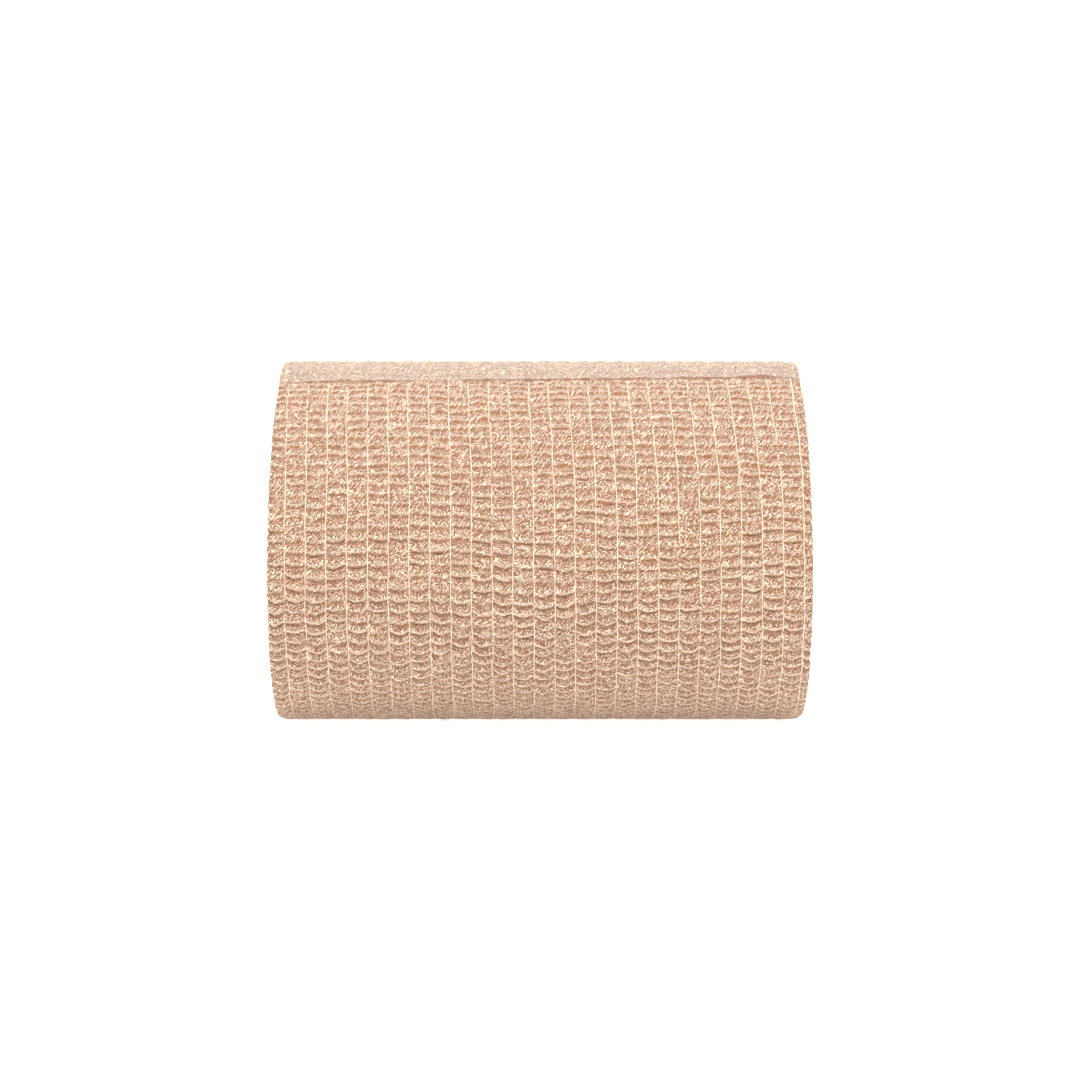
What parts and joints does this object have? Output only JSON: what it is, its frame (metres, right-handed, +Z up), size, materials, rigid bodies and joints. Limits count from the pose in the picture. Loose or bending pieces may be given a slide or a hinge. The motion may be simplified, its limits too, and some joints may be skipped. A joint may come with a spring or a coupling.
{
  "type": "cohesive bandage roll",
  "caption": "Roll of crinkled, elastic cohesive bandage lying on its side, wound without a core, its loose end laid down along the top front.",
  "frame": {"origin": "centre of the part's footprint, on the surface that it lies on, in the flat spot under the roll's axis", "axes": "+X along the roll's axis, +Z up, -Y towards the front, where the loose end lies down just below the top"},
  "size_m": [0.075, 0.0514, 0.0513],
  "materials": {
    "crinkled_cloth": "matt crinkled nonwoven in a skin tone, with fine cream elastic threads lengthways"
  },
  "bodies": {
    "root": {"bandage_roll": "crinkled_cloth"}
  },
  "joints": []
}
